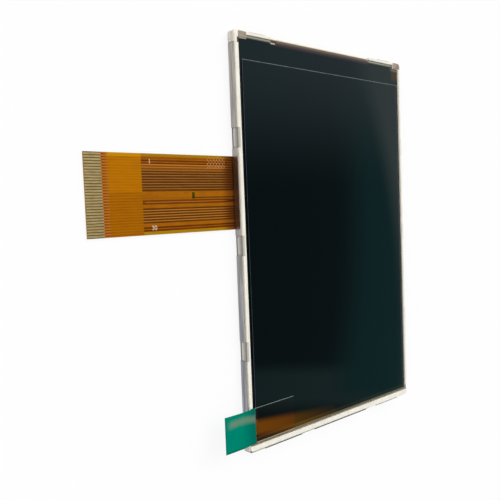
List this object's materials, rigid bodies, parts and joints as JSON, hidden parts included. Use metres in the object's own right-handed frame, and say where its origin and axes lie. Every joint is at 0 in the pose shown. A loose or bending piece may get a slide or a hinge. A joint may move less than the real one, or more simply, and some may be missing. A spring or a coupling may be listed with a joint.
{
  "type": "TFT display module",
  "caption": "Flat portrait display module: glass screen in a moulded frame on a steel back shell, with a ribbon tail folded round one end and a green peel tab.",
  "frame": {"origin": "middle of the module's outline on the steel shell's back face", "axes": "+X across the screen, away from the side where the ribbon tail leaves; +Y along the screen towards the end where the ribbon folds over; +Z out of the screen"},
  "size_m": [0.0907, 0.088, 0.0049],
  "materials": {
    "bright_steel": "bright rolled stainless, almost a mirror",
    "frame_plastic": "cream white moulding, satin",
    "white_film": "white reflector and diffusing films",
    "clear_plastic": "clear moulded light guide and prism films",
    "led_body": "white package with a yellow window",
    "black_tape": "black film tape",
    "polariser": "near-black glossy sheet",
    "cell_glass": "clear ground-edge glass over a dark cell",
    "cell_fill": "liquid crystal and its seal",
    "clear_film": "clear protective film, dark over the screen",
    "green_tab": "green see-through film",
    "chip": "polished silicon",
    "sealant": "clear cured sealant",
    "ribbon": "amber polyimide, satin gloss",
    "copper": "copper under amber polyimide",
    "contact_gold": "thin dull gold plating",
    "stiffener": "amber stiffener sheet",
    "adhesive": "double-sided adhesive",
    "capacitor_ceramic": "brown ceramic",
    "white_ink": "thin white ink over the amber ribbon",
    "solder": "bright tin"
  },
  "bodies": {
    "root": {"steel_shell": "bright_steel", "mould_frame": "frame_plastic", "reflector_film": "white_film", "light_guide": "clear_plastic", "diffuser_film": "white_film", "prism_film_lower": "clear_plastic", "prism_film_upper": "clear_plastic", "led_packages": "led_body", "led_flex": "ribbon", "led_solder_joints": "solder", "led_tongue_tape": "adhesive", "rim_tape": "black_tape", "lower_polariser": "polariser", "array_glass": "cell_glass", "cell_seal": "cell_fill", "liquid_crystal": "cell_fill", "filter_glass": "cell_glass", "upper_polariser": "polariser", "protective_film": "clear_film", "peel_tab": "green_tab", "driver_chip": "chip", "ledge_sealant": "sealant", "ledge_cover_tape": "black_tape", "ribbon_circuit": "ribbon", "ribbon_tape": "adhesive", "contact_fingers": "contact_gold", "contact_stiffener": "stiffener", "copper_traces": "copper", "capacitor_bodies": "capacitor_ceramic", "capacitor_terminals": "solder"}
  },
  "joints": []
}
